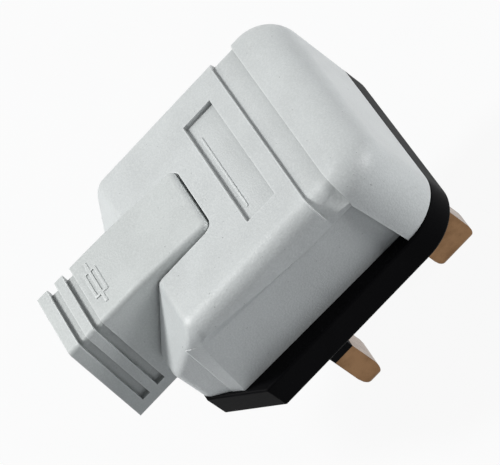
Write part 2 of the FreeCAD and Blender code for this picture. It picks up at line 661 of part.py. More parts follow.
notch = new_body("cover_notch")
notch_plan = rect(f"-{NOTCH_HALF}", NOTCH_HALF, "-base_cable_end - overcut", "-notch_end")
pad(notch, "NotchBlock", draw(notch, "NotchOutline", "XY_Plane", room_low, [notch_plan]), "cover_height")
round_edges(notch, "NotchCorners", "notch_round", lambda edge: all(
    near(p.y, -value("notch_end")) for p in ends(edge)) and is_upright(edge))

label = new_body("cover_label")
label_plan = rect("-label_width / 2", "label_width / 2",
                  "label_centre - label_length / 2", "label_centre + label_length / 2")
pad(label, "LabelBlock", draw(label, "LabelOutline", "XY_Plane", "cover_height - label_sink", [label_plan]),
    "label_sink + overcut")

outer = join("CoverOuter", gripped, cap)
shell = cut("CoverShell", outer, join("CoverVoids", room, notch, label))
boss = rod("CoverBoss", "boss_diameter / 2", ("0", "cover_screw_offset"),
           (BOSS_END, f"{ROOF} + cover_wall / 2"))
bush_hole = rod("BushHole", "insert_diameter / 2", ("0", "cover_screw_offset"),
                (BOSS_END, f"{BOSS_END} + insert_sink + insert_length + insert_relief"))
cover = cut("cover", join("CoverWithBoss", shell, boss), bush_hole)

# Cable sleeve: a block with a rising back, ringed by two grooves, held by a collar and bored for the flex.
guard = new_body("sleeve_guard")


def sleeve_profile(drop):
    """The side view of the sleeve, with its top lowered by drop."""
    return [
        (SLEEVE_IN, SLEEVE_FOOT),
        (SLEEVE_IN, f"cover_height + sleeve_rise - {drop}"),
        (f"{SLEEVE_IN} - sleeve_crown_run", f"cover_height + sleeve_crown_rise - {drop}"),
        (f"{SLEEVE_OUT} + sleeve_lean", f"{SLEEVE_TOP} - {drop}"),
        (SLEEVE_OUT, SLEEVE_FOOT),
    ]


def top_edges(body, inner_end):
    """A test for the long edges on top of a body and, where inner_end is given, the upper ones there."""
    doc.recompute()
    middle = body.Shape.BoundBox.Center.z

    def chosen(edge):
        a, b = ends(edge)
        along = near(a.x, b.x) and min(a.z, b.z) > middle
        at_end = inner_end is not None and near(a.y, inner_end) and near(b.y, inner_end)
        return along or at_end and max(a.z, b.z) > middle

    return chosen


pad(guard, "GuardBlock", draw(guard, "GuardProfile", "YZ_Plane", "0", [sleeve_profile("0")]),
    f"2 * {SLEEVE_HALF}", "Symmetric")
guard_end = -value("notch_end") - value("notch_clearance")
round_edges(guard, "GuardRound", "sleeve_round", top_edges(guard, guard_end))
core = new_body("sleeve_core")
pad(core, "CoreBlock", draw(core, "CoreProfile", "YZ_Plane", "0", [sleeve_profile("ring_sink")]),
    f"2 * ({SLEEVE_HALF} - ring_sink)", "Symmetric")
round_edges(core, "CoreRound", "sleeve_round", top_edges(core, None))
lean = f"(sleeve_lean / ({SLEEVE_TOP} - {SLEEVE_FOOT}))"
rings = []
for turn in (0, 1):
    start = f"{SLEEVE_OUT} + ring_margin + {turn} * ring_pitch"
    low = f"({SLEEVE_FOOT} + ring_foot)"
    high = f"({SLEEVE_TOP} + overcut)"
    rings.append([
        (f"{start} + ring_foot * {lean}", low),
        (f"{start} + ring_foot * {lean} + ring_width", low),
        (f"{start} + ({high} - {SLEEVE_FOOT}) * {lean} + ring_width", high),
        (f"{start} + ({high} - {SLEEVE_FOOT}) * {lean}", high),
    ])
ring_tools = []
for number, ring in enumerate(rings, start=1):
    tool = new_body(f"sleeve_ring_{number}")
    pad(tool, f"RingSlab{number}", draw(tool, f"RingProfile{number}", "YZ_Plane", "0", [ring]),
        f"2 * ({SLEEVE_HALF} + overcut)", "Symmetric")
    ring_tools.append(tool)
ringed = cut("SleeveRinged", guard, cut("SleeveGrooves", join("SleeveSlabs", *ring_tools), core))
collar_top = f"{ROOF} - ({BEVEL_TOP} - {COLLAR_Y}) * {BEVEL_PITCH} - collar_headroom"
collar = block("SleeveCollar", (f"-{COLLAR_HALF}", COLLAR_HALF), (COLLAR_Y, f"{COLLAR_Y} + collar_thickness"),
               ("base_floor", collar_top))
flex_bore = rod("FlexBore", "sleeve_bore / 2", ("0", BORE_Z),
                (f"{SLEEVE_OUT} - overcut", f"{SLEEVE_IN} + overcut"), "y")
cable_sleeve = cut("cable_sleeve", join("SleeveSolid", ringed, collar), flex_bore)


def end_edges(body, axis):
    """A test for the lowest edges of a body that run along an axis."""
    doc.recompute()
    low = min(vertex.Point.z for vertex in body.Shape.Vertexes)

    def chosen(edge):
        a, b = ends(edge)
        along = near(a.y, b.y) if axis == "x" else near(a.x, b.x)
        return near(a.z, low) and near(b.z, low) and along

    return chosen


def blade(label, x, y, wide, deep, span, rounds):
    """A pin's blade, rounded both ways at its end: what two slabs share that are rounded one way each."""
    slabs = []
    for axis, radius in zip("xy", rounds):
        spare_x, spare_y = ("overcut", "0") if axis == "x" else ("0", "overcut")
        slab = new_body(f"{label}_slab_{axis}")
        outline = rect(f"{x} - {wide} / 2 - {spare_x}", f"{x} + {wide} / 2 + {spare_x}",
                       f"{y} - {deep} / 2 - {spare_y}", f"{y} + {deep} / 2 + {spare_y}")
        profile = draw(slab, f"{label}_section_{axis}", "XY_Plane", span[0], [outline])
        pad(slab, f"{label}_bar_{axis}", profile, f"{span[1]} - ({span[0]})")
        round_edges(slab, f"{label}_round_{axis}", radius, end_edges(slab, axis))
        slabs.append(slab)
    return common(f"{label}_blade", *slabs)


def line_pin_root(label, sign):
    """A live or neutral pin above its blade: the waist in its insulator, and the foot in the base."""
    body = new_body(f"{label}_root")

    def section(name, lift, inset):
        loop = rect(f"{sign} * {PIN} - line_pin_width / 2 + {inset}",
                    f"{sign} * {PIN} + line_pin_width / 2 - {inset}",
                    f"-{PIN} - line_pin_thickness / 2 + {inset}",
                    f"-{PIN} + line_pin_thickness / 2 - {inset}")
        return draw(body, f"{label}_{name}", "XY_Plane", lift, [loop])

    pad(body, f"{label}_waist", section("waist_outline", "-insulator_length", "insulator_wall"),
        "insulator_length + insulator_rise")
    pad(body, f"{label}_foot", section("foot_outline", "insulator_rise", "0"), "base_floor - insulator_rise")
    return body


def line_blade(label, sign):
    return blade(label, f"{sign} * {PIN}", f"-{PIN}", "line_pin_width", "line_pin_thickness",
                 ("-line_pin_length", "-insulator_length"), ("line_tip_long_round", "line_tip_short_round"))


def insulator(label, sign):
    """A rectangular tube, flush with the blade of its pin."""
    body = new_body(label)
    loops = [rect(f"{sign} * {PIN} - line_pin_width / 2 + {inset}",
                  f"{sign} * {PIN} + line_pin_width / 2 - {inset}",
                  f"-{PIN} - line_pin_thickness / 2 + {inset}",
                  f"-{PIN} + line_pin_thickness / 2 - {inset}") for inset in ("0", "insulator_wall")]
    pad(body, f"{label}_tube", draw(body, f"{label}_outline", "XY_Plane", "-insulator_length", loops),
        "insulator_length + insulator_rise")
    return body


# Live pin: its head is the seat of a fuse clip.
live_root = line_pin_root("live_pin", 1)
live_head = rect(LIVE_HEAD_X, f"{FUSE_X} + fuse_diameter / 2",
                 FUSE_LOW, f"{FUSE_LOW} + clip_margin + clip_length + clip_foot_run")
pad(live_root, "LiveHead", draw(live_root, "LiveHeadOutline", "XY_Plane", "base_floor", [live_head]),
    "live_head_height")
PIN_RIVET_Y = f"({FUSE_LOW} + clip_margin + clip_length + clip_foot_run / 2)"
END_RIVET_Y = f"({FUSE_HIGH} - clip_margin - clip_length - clip_foot_run / 2)"
pocket(live_root, "LiveRivetHole", draw(live_root, "LiveRivetOutline", "XY_Plane", CLIP_SEAT,
       [(RIVET_X, PIN_RIVET_Y, "rivet_diameter / 2")]), "rivet_length")
live_pin = join("live_pin", line_blade("live_pin", 1), live_root)
live_pin_insulator = insulator("live_pin_insulator", 1)

# Neutral pin: its head is a terminal, with a hole for the core along Y and a screw from above.
neutral_root = line_pin_root("neutral_pin", -1)
neutral_head = rect(f"{NEUTRAL_SCREW_X} - terminal_width / 2 + head_inset",
                    f"-{NEUTRAL_HEAD_X}",
                    f"-{PIN} - terminal_width / 2", f"-{PIN} + terminal_width / 2")
pad(neutral_root, "NeutralHead",
    draw(neutral_root, "NeutralHeadOutline", "XY_Plane", "base_floor", [neutral_head]), "terminal_height")
pocket(neutral_root, "NeutralWireHole", draw(neutral_root, "NeutralWireOutline", "XZ_Plane", PIN,
       [(NEUTRAL_SCREW_X, "base_floor + wire_height", "wire_hole / 2")]), "2 * terminal_width", "Symmetric")
pocket(neutral_root, "NeutralThread", draw(neutral_root, "NeutralThreadOutline", "XY_Plane", TERMINAL_TOP,
       [(NEUTRAL_SCREW_X, f"-{PIN}", "terminal_screw / 2 + thread_clearance")]),
       "terminal_height - wire_height")
neutral_pin = join("neutral_pin", line_blade("neutral_pin", -1), neutral_root)
neutral_pin_insulator = insulator("neutral_pin_insulator", -1)

# Earth pin: one bar, longer than the others and with no insulator, under a terminal of its own.
earth_root = new_body("earth_pin_root")
earth_head = rect("-terminal_width / 2", "terminal_width / 2",
                  f"{PIN} - earth_pin_width / 2", f"{PIN} + earth_pin_width / 2")
pad(earth_root, "EarthHead", draw(earth_root, "EarthHeadOutline", "XY_Plane", "base_floor", [earth_head]),
    "terminal_height")
pocket(earth_root, "EarthWireHole", draw(earth_root, "EarthWireOutline", "YZ_Plane", "0",
       [(PIN, "base_floor + wire_height", "wire_hole / 2")]), "2 * terminal_width", "Symmetric")
pocket(earth_root, "EarthThread", draw(earth_root, "EarthThreadOutline", "XY_Plane", TERMINAL_TOP,
       [("0", PIN, "terminal_screw / 2 + thread_clearance")]), "terminal_height - wire_height")
earth_blade = blade("earth_pin", "0", PIN, "earth_pin_thickness", "earth_pin_width",
                    ("-earth_pin_length", "base_floor"), ("earth_tip_short_round", "earth_tip_long_round"))
earth_pin = join("earth_pin", earth_blade, earth_root)

# Live terminal: a block for the core, with a strip under the second fuse clip.
live_terminal = new_body("live_terminal")
strip_plan = rect(f"{FUSE_X} - terminal_width / 2 - clip_foot_overhang", f"{FUSE_X} + terminal_width / 2",
                  f"{FUSE_HIGH} - clip_margin - clip_length - clip_foot_run", LIVE_TERMINAL_Y)
pad(live_terminal, "LiveStrip", draw(live_terminal, "LiveStripOutline", "XY_Plane",
    f"{CLIP_SEAT} - strip_gauge", [strip_plan]), "strip_gauge")
terminal_plan = rect(f"{FUSE_X} - terminal_width / 2", f"{FUSE_X} + terminal_width / 2",
                     LIVE_TERMINAL_Y, f"{LIVE_TERMINAL_Y} + live_block_length")
pad(live_terminal, "LiveBlock",
    draw(live_terminal, "LiveBlockOutline", "XY_Plane", "base_floor", [terminal_plan]), "terminal_height")
pocket(live_terminal, "LiveWireHole", draw(live_terminal, "LiveWireOutline", "YZ_Plane", FUSE_X,
       [(LIVE_SCREW_Y, "base_floor + wire_height", "wire_hole / 2")]), "2 * terminal_width", "Symmetric")
pocket(live_terminal, "LiveThread", draw(live_terminal, "LiveThreadOutline", "XY_Plane", TERMINAL_TOP,
       [(FUSE_X, LIVE_SCREW_Y, "terminal_screw / 2 + thread_clearance")]), "terminal_height - wire_height")
pocket(live_terminal, "StripRivetHole", draw(live_terminal, "StripRivetOutline", "XY_Plane", CLIP_SEAT,
       [(RIVET_X, END_RIVET_Y, "rivet_diameter / 2")]), "rivet_length")

# Fuse: a ceramic tube between two caps.
fuse_body = rod("fuse_body", "fuse_diameter / 2 - fuse_cap_wall", (FUSE_X, FUSE_Z),
                (f"{FUSE_LOW} + fuse_cap_wall", f"{FUSE_HIGH} - fuse_cap_wall"), "y")


def fuse_cap(label, span, hollow_span):
    """A cup over an end of the fuse."""
    cup = rod(f"{label}_cup", "fuse_diameter / 2", (FUSE_X, FUSE_Z), span, "y")
    hollow = rod(f"{label}_inside", "fuse_diameter / 2 - fuse_cap_wall", (FUSE_X, FUSE_Z), hollow_span, "y")
    return cut(label, cup, hollow)


fuse_cap_pin_end = fuse_cap(
    "fuse_cap_pin_end",
    (FUSE_LOW, f"{FUSE_LOW} + fuse_cap_length"),
    (f"{FUSE_LOW} + fuse_cap_wall", f"{FUSE_LOW} + fuse_cap_length + overcut"))
fuse_cap_terminal_end = fuse_cap(
    "fuse_cap_terminal_end",
    (f"{FUSE_HIGH} - fuse_cap_length", FUSE_HIGH),
    (f"{FUSE_HIGH} - fuse_cap_length - overcut", f"{FUSE_HIGH} - fuse_cap_wall"))


def fuse_clip(label, arms, foot, rivet_y):
    """A spring clip: a band open at the top, on a foot that a rivet holds down."""
    axis = (FUSE_X, FUSE_Z)
    past_arms = (f"{arms[0]} - overcut", f"{arms[1]} + overcut")
    arc = cut(f"{label}_arc", rod(f"{label}_outside", "fuse_diameter / 2 + clip_gauge", axis, arms, "y"),
              rod(f"{label}_inside", "fuse_diameter / 2", axis, past_arms, "y"))
    mouth = block(f"{label}_mouth", (f"{FUSE_X} - fuse_diameter", f"{FUSE_X} + fuse_diameter"), past_arms,
                  (f"{FUSE_Z} + clip_wrap", f"{FUSE_Z} + fuse_diameter"))
    foot_x = (f"{FUSE_X} - terminal_width / 2 - clip_foot_overhang", f"{FUSE_X} + fuse_diameter / 4")
    sheet_foot = block(f"{label}_foot", foot_x, foot, (CLIP_SEAT, f"{CLIP_SEAT} + clip_gauge"))
    past_foot = (f"{foot[0]} - overcut", f"{foot[1]} + overcut")
    bed_cut = rod(f"{label}_bed", "fuse_diameter / 2", axis, past_foot, "y")
    hole = rod(f"{label}_hole", "rivet_diameter / 2", (RIVET_X, rivet_y),
               (f"{CLIP_SEAT} - overcut", f"{CLIP_SEAT} + clip_gauge + overcut"))
    whole = join(f"{label}_whole", cut(f"{label}_open", arc, mouth), sheet_foot)
    return cut(label, whole, join(f"{label}_cuts", bed_cut, hole))


fuse_clip_pin_end = fuse_clip(
    "fuse_clip_pin_end",
    (f"({FUSE_LOW} + clip_margin)", f"({FUSE_LOW} + clip_margin + clip_length)"),
    (f"({FUSE_LOW} + clip_margin)", f"({FUSE_LOW} + clip_margin + clip_length + clip_foot_run)"),
    PIN_RIVET_Y)
fuse_clip_terminal_end = fuse_clip(
    "fuse_clip_terminal_end",
    (f"({FUSE_HIGH} - clip_margin - clip_length)", f"({FUSE_HIGH} - clip_margin)"),
    (f"({FUSE_HIGH} - clip_margin - clip_length - clip_foot_run)", f"({FUSE_HIGH} - clip_margin)"),
    END_RIVET_Y)


def screw(name, x, y, seat, thread, length, head, head_height):
    """A cheese head screw with a slot, standing on its seat with its head up."""
    stem = rod(f"{name}_stem", f"{thread} / 2", (x, y), (f"{seat} - {length}", f"{seat} + {head_height} / 2"))
    cheese = rod(f"{name}_head", f"{head} / 2", (x, y), (seat, f"{seat} + {head_height}"))
    slot = block(f"{name}_slot", (f"{x} - {head}", f"{x} + {head}"),
                 (f"{y} - slot_width / 2", f"{y} + slot_width / 2"),
                 (f"{seat} + {head_height} - slot_sink", f"{seat} + {head_height} + overcut"))
    return cut(name, join(f"{name}_blank", stem, cheese), slot)


def group(label, *items):
    """Like fasteners kept as one node of separate solids."""
    item = doc.addObject("Part::Compound", label)
    item.Links = list(items)
    return item


terminal_screws = group("terminal_screws", *[
    screw(f"terminal_screw_{number}", x, y, TERMINAL_TOP, "terminal_screw", "terminal_screw_length",
          "screw_head", "screw_head_height")
    for number, (x, y) in enumerate(
        (("0", PIN), (NEUTRAL_SCREW_X, f"-{PIN}"), (FUSE_X, LIVE_SCREW_Y)), start=1)])
clip_rivets = group("clip_rivets", *[
    join(f"clip_rivet_{number}",
         rod(f"rivet_stem_{number}", "rivet_diameter / 2", (RIVET_X, y),
             (f"{CLIP_SEAT} - rivet_length", f"{CLIP_SEAT} + 1.5 * clip_gauge")),
         rod(f"rivet_head_{number}", "rivet_head / 2", (RIVET_X, y),
             (f"{CLIP_SEAT} + clip_gauge", f"{CLIP_SEAT} + 2 * clip_gauge")))
    for number, y in enumerate((PIN_RIVET_Y, END_RIVET_Y), start=1)])

# Cord grip: a bar over the flex, on two posts.
grip_bar = new_body("cord_grip_bar")
bar_half = f"({GRIP_X} + grip_post / 2 + grip_bar_overhang)"
bar_plan = rect(f"-{bar_half}", bar_half, f"{GRIP_Y} - grip_post / 2", f"{GRIP_Y} + grip_post / 2")
pad(grip_bar, "GripBar", draw(grip_bar, "GripBarOutline", "XY_Plane", GRIP_SEAT, [bar_plan]),
    "grip_bar_height")
bar_holes = [(f"{sign}{GRIP_X}", GRIP_Y, "grip_screw / 2 + hole_clearance") for sign in ("", "-")]
pocket(grip_bar, "GripBarHoles", draw(grip_bar, "GripBarHoleOutline", "XY_Plane",
       f"{GRIP_SEAT} + grip_bar_height", bar_holes), "grip_bar_height + overcut")
cord_grip_screws = group("cord_grip_screws", *[
    screw(f"cord_grip_screw_{number}", x, GRIP_Y, f"({GRIP_SEAT} + grip_bar_height)", "grip_screw",
          "grip_screw_length", "screw_head", "screw_head_height")
    for number, x in enumerate((GRIP_X, f"-{GRIP_X}"), start=1)])

# Cover screw, from the pin side, with its bush in the boss and the washer that keeps it in the base.
SCREW_SEAT = "(cover_screw_sink + cover_screw_head_height)"
screw_stem = rod("CoverScrewStem", "cover_screw_thread / 2", ("0", "cover_screw_offset"),
                 (f"{SCREW_SEAT} - cover_screw_head_height / 2", f"{SCREW_SEAT} + cover_screw_length"))
screw_head = rod("CoverScrewHead", "cover_screw_head / 2", ("0", "cover_screw_offset"),
                 ("cover_screw_sink", SCREW_SEAT))
screw_slots = [
    block(f"CoverScrewSlot{number}", (f"-{u}", u), (f"cover_screw_offset - {v}", f"cover_screw_offset + {v}"),
          ("cover_screw_sink - overcut", "cover_screw_sink + slot_sink"))
    for number, (u, v) in enumerate((("cover_screw_head / 3", "slot_width / 2"),
                                     ("slot_width / 2", "cover_screw_head / 3")), start=1)]
cover_screw = cut("cover_screw", join("CoverScrewBlank", screw_stem, screw_head),
                  join("CoverScrewCross", *screw_slots))
bush_low = f"({BOSS_END} + insert_sink)"
cover_insert = cut("cover_insert",
                   rod("BushOutside", "insert_diameter / 2", ("0", "cover_screw_offset"),
                       (bush_low, f"{bush_low} + insert_length")),
                   rod("BushInside", "cover_screw_thread / 2 + thread_clearance", ("0", "cover_screw_offset"),
                       (f"{bush_low} - overcut", f"{bush_low} + insert_length + overcut")))
retaining_washer = cut("screw_retaining_washer",
                       rod("WasherOutside", "washer_diameter / 2", ("0", "cover_screw_offset"),
                           ("base_floor", BOSS_END)),
                       rod("WasherInside", "cover_screw_thread / 2", ("0", "cover_screw_offset"),
                           ("base_floor - overcut", f"{BOSS_END} + overcut")))

NODES = (
    base, cover, cable_sleeve, earth_pin, live_pin, neutral_pin, live_pin_insulator, neutral_pin_insulator,
    fuse_body, fuse_cap_pin_end, fuse_cap_terminal_end, fuse_clip_pin_end, fuse_clip_terminal_end,
    clip_rivets, live_terminal, terminal_screws, grip_bar, cord_grip_screws, cover_screw, cover_insert,
    retaining_washer,
)

doc.recompute()
failed = [item.Label for item in doc.Objects if {"Invalid", "Error"} & set(item.State)]
if failed:
    raise RuntimeError(f"failed features: {failed}")
for node in NODES:
    if node.Shape.isNull() or not node.Shape.isValid() or not node.Shape.Solids:
        raise RuntimeError(f"{node.Label} is not a valid solid")

os.makedirs("parts", exist_ok=True)
for node in NODES:
    node.Shape.exportStep(f"parts/{node.Label}.step")
    print(f"{node.Label}: {len(node.Shape.Solids)} solid(s), {node.Shape.Volume:.1f} mm3")
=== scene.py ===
# %% [markdown]
# # A three pin plug in Blender
# The shapes of this plug come from a CAD model, one node for each piece of the real thing.
# This lesson loads them as a fixed frame, gives every piece its finish, softens the pin tips, adds
# the small moulded marks that are no solids of their own, and sets a studio and a camera round it.
# All lengths are in metres, so a millimetre is written as MM.

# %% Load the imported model
import json
from math import asin, radians, sqrt

import bpy
from mathutils import Matrix, Vector


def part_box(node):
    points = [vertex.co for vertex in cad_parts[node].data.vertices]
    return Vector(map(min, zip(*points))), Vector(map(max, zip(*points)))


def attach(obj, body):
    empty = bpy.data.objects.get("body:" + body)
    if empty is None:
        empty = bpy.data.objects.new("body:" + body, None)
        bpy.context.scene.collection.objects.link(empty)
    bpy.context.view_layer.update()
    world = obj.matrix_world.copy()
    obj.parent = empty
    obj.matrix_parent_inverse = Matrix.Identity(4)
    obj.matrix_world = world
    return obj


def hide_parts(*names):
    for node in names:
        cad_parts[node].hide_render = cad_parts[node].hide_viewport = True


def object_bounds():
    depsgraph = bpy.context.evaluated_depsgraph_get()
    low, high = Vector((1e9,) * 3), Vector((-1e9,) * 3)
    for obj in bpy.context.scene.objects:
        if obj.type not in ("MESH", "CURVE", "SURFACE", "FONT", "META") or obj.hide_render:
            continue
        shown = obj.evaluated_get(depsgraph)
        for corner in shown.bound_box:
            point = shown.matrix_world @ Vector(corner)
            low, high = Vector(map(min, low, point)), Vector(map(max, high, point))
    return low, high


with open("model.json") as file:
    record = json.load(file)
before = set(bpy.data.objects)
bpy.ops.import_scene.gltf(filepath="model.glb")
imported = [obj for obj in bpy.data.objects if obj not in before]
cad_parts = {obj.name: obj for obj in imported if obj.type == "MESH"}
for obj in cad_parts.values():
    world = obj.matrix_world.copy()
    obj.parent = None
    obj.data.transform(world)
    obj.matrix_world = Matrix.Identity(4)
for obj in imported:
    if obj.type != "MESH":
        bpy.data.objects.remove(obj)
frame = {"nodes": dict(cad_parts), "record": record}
nodes = frame["nodes"]
cad_low, cad_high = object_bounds()
MM = 0.001
print(f"{len(nodes)} nodes, box {[round(s / MM, 2) for s in cad_high - cad_low]} mm")

# %% [markdown]
# ## Camera
# The view was found by fitting a camera to the pins, whose sizes a standard fixes. It stands more than
# half a metre away with a long lens, and it is rolled, because the plug was photographed lying askew.
# A camera looks along its own -Z, so its three axes are written down as right, up and back.

# %% Place the camera
EYE = Vector((0.473108, 0.102222, 0.397175))
RIGHT = Vector((0.364613, 0.679053, -0.637138))
UP = Vector((-0.535569, 0.712669, 0.453065))
SENSOR_WIDTH = 36
LENS = 284.07

camera_data = bpy.data.cameras.new("view_camera")
camera_data.sensor_width = SENSOR_WIDTH
camera_data.lens = LENS
camera_data.clip_start = 0.01
camera_data.clip_end = 20
camera = bpy.data.objects.new("view_camera", camera_data)
bpy.context.scene.collection.objects.link(camera)
axes = Matrix((RIGHT, UP, RIGHT.cross(UP))).transposed()
camera.matrix_world = Matrix.Translation(EYE) @ axes.to_4x4()
bpy.context.scene.camera = camera
print(f"camera {EYE.length:.3f} m from the origin, lens {LENS} mm")

# %% [markdown]
# ## Shader maths
# A material is a graph of nodes. Wiring Math nodes by hand hides the sum that they work out, so one
# small class wraps a socket and lets Python's own operators add the nodes: `1 - mask * 0.3` reads as
# it is meant. Its `node` method adds any other node, with its settings first and then its inputs.


# %% A socket that can be reckoned with
class Wire:
    """A node's output, with operators that add Math nodes to the same tree."""

    def __init__(self, tree, socket):
        self.tree = tree
        self.socket = socket

    def node(self, kind, settings=None, out=0, **inputs):
        """Adds a node. An input's name has _ for a space, and i3 stands for the input numbered 3."""
        made = self.tree.nodes.new(kind)
        for name, setting in (settings or {}).items():
            setattr(made, name, setting)
        for name, given in inputs.items():
            key = int(name[1:]) if name[1:].isdigit() else name.replace("_", " ")
            if isinstance(given, Wire):
                self.tree.links.new(given.socket, made.inputs[key])
            else:
                made.inputs[key].default_value = given
        return Wire(self.tree, made.outputs[out])

    def math(self, operation, first, second):
        return self.node("ShaderNodeMath", {"operation": operation}, i0=first, i1=second)

    def __add__(self, other):
        return self.math("ADD", self, other)

    __radd__ = __add__

    def __mul__(self, other):
        return self.math("MULTIPLY", self, other)

    __rmul__ = __mul__

    def __sub__(self, other):
        return self.math("SUBTRACT", self, other)

    def __rsub__(self, other):
        return self.math("SUBTRACT", other, self)

    def __gt__(self, other):
        return self.math("GREATER_THAN", self, other)

    def ramp(self, low, high):
        """0 below low, 1 above high and smooth between."""
        settings = {"interpolation_type": "SMOOTHSTEP"}
        return self.node("ShaderNodeMapRange", settings, Value=self, From_Min=low, From_Max=high)

    def mix(self, first, second):
        """A colour between two, by this wire as the factor."""
        inputs = {"i0": self, "i6": first, "i7": second}
        return self.node("ShaderNodeMix", {"data_type": "RGBA"}, out=2, **inputs)


def rgb(red, green, blue):
    return (red, green, blue, 1)


print("shader maths ready")

# %% [markdown]
# ## Finishes
# Every finish is a Principled shader that reads Object coordinates, which are metres here, so a
# noise of scale 2000 has features of about half a millimetre. The Bevel node turns the normals near
# a sharp edge, as the small radius that any moulding or machined part has would do.


# %% Start a material
def object_place(tree):
    """The Object coordinates of a material's tree, as a wire."""
    return Wire(tree, tree.nodes.new("ShaderNodeTexCoord").outputs["Object"])


def start(name, edge, metallic=0.0):
    """A new material: its shader, its coordinates, and its normal, turned within edge of an edge."""
    material = bpy.data.materials.new(name)
    material.use_nodes = True
    shader = material.node_tree.nodes["Principled BSDF"]
    shader.inputs["Metallic"].default_value = metallic
    place = object_place(material.node_tree)
    normal = place.node("ShaderNodeBevel", {"samples": 6}, Radius=edge)
    return material, shader, place, normal


def noise(place, scale, detail=2.0, rough=0.5):
    """A noise value from 0 to 1 at a scale in features per metre."""
    return place.node("ShaderNodeTexNoise", Vector=place, Scale=scale, Detail=detail, Roughness=rough)


def feed(shader, **wires):
    for name, wire in wires.items():
        wire.tree.links.new(wire.socket, shader.inputs[name.replace("_", " ")])


def bump(height, normal, strength, distance):
    inputs = {"Height": height, "Normal": normal, "Strength": strength, "Distance": distance}
    return height.node("ShaderNodeBump", **inputs)


def scaled(tone, factor):
    return rgb(*(part * factor for part in tone))


print("material helpers ready")

# %% [markdown]
# ### Grey plastic
# The cover and the sleeve are one pale, cool grey plastic from a spark-eroded mould. Such a mould
# leaves a grain of about a third of a millimetre, and the moulding has a few dark specks. So a fine
# noise drives the bump and the roughness, and its crests are a little paler, as a worn grain is. A
# broad noise shifts the colour slightly, as the melt does where it flowed, and a thresholded one is
# the specks. The outer edges get a painted highlight, a paler colour where an edge would catch the
# light, and the foot of every step gets painted shade, a darker colour where shadow gathers. Painting
# that by hand would take a map, so Ambient Occlusion nodes find both. One looks into the piece, where
# only near an outer edge another face is close by. The other looks out of it, where only in a hollow
# one is.

# %% Grey plastic
CREST_PALE = rgb(0.86, 0.88, 0.88)
SPECK_DARK = rgb(0.20, 0.21, 0.22)
# The next four: a dark colour of painted shade for hollows and the foot of steps, a pale colour of
# painted highlight for outer edges, and how far each reaches.
PAINTED_SHADE_DARK = rgb(0.10, 0.105, 0.105)
PAINTED_HIGHLIGHT_PALE = rgb(0.92, 0.94, 0.94)
PAINTED_SHADE_REACH = 1.2 * MM
PAINTED_HIGHLIGHT_REACH = 0.3 * MM


def closeness(place, reach, inside):
    """How much of a piece's own faces lies within reach of a point, looked for inside it or outside."""
    settings = {"inside": inside, "only_local": True, "samples": 8}
    return 1 - place.node("ShaderNodeAmbientOcclusion", settings, out=1, Distance=reach)


def grey_plastic(name, tone):
    material, shader, place, normal = start(name, edge=0.12 * MM)
    grain = noise(place, 3000, detail=3, rough=0.65)
    cloud = noise(place, 90)
    speck = noise(place, 2100, detail=1).ramp(0.77, 0.80)
    colour = cloud.ramp(0.35, 0.65).mix(scaled(tone, 0.96), scaled(tone, 1.03))
    colour = (grain.ramp(0.35, 0.75) * 0.24).mix(colour, CREST_PALE)
    colour = (speck * 0.7).mix(colour, SPECK_DARK)
    # Painted shade: the colour is darkened in hollows and at the foot of every step, where shadow
    # falls.
    colour = (closeness(place, PAINTED_SHADE_REACH, inside=False) * 0.75).mix(colour, PAINTED_SHADE_DARK)
    # Painted highlight: the colour is paled along outer edges, where an edge would catch the light.
    colour = (closeness(place, PAINTED_HIGHLIGHT_REACH, inside=True) * 0.7).mix(colour, PAINTED_HIGHLIGHT_PALE)
    feed(shader, Base_Color=colour, Roughness=grain * 0.30 + 0.22,
         Normal=bump(grain, normal, strength=0.8, distance=0.09 * MM))
    return material


cover_grey = grey_plastic("cover_grey", (0.562, 0.588, 0.590))
sleeve_grey = grey_plastic("sleeve_grey", (0.554, 0.582, 0.578))
print("grey plastic ready")


# %% [markdown]
# ### Black plastic
# The base and the pin insulators are deep black. Black plastic shows its surface by its sheen more
# than by its colour, so the colour hardly changes while the roughness does. Its specular level is
# low, because this black stays black even where it mirrors a white room.


# %% Black plastic
def black_plastic(name, tone, rough, grain_size):
    material, shader, place, normal = start(name, edge=0.2 * MM)
    grain = noise(place, 1 / grain_size, detail=3, rough=0.6)
    cloud = noise(place, 120)
    colour = cloud.ramp(0.3, 0.7).mix(rgb(*tone), scaled(tone, 1.5))
    feed(shader, Base_Color=colour, Roughness=grain * 0.2 + cloud * 0.1 + rough,
         Normal=bump(grain, normal, strength=0.25, distance=0.04 * MM))
    shader.inputs["Specular IOR Level"].default_value = 0.02
    return material


base_black = black_plastic("base_black", (0.0022, 0.0022, 0.0026), 0.30, 0.35 * MM)
insulator_black = black_plastic("insulator_black", (0.0045, 0.0045, 0.005), 0.38, 0.5 * MM)
print("black plastic ready")

# %% [markdown]
# ### Metals
# The pins are drawn brass that has dulled to a warm brown, and fine lines run along them. Squeezing
# the coordinates along Z before the noise draws it out into such lines, and a cloudy noise is the
# uneven dulling. The inner metals are turned, plated or stamped, and still bright, with a plain fine
# noise.

# %% Metals
EVEN = (1, 1, 1)
ALONG_PIN = (1, 1, 0.06)
LINE_SIZE = 0.12 * MM


def metal(name, tone, dull_tone, rough, stretch=EVEN):
    material, shader, place, normal = start(name, edge=0.2 * MM, metallic=1.0)
    drawn = place.node("ShaderNodeMapping", Vector=place, Scale=stretch)
    lines = noise(drawn, 1 / LINE_SIZE)
    cloud = noise(place, 260, detail=3, rough=0.6)
    colour = cloud.ramp(0.35, 0.7).mix(rgb(*tone), rgb(*dull_tone))
    feed(shader, Base_Color=colour, Roughness=lines * 0.12 + cloud * 0.14 + rough,
         Normal=bump(lines, normal, strength=0.12, distance=0.02 * MM))
    return material


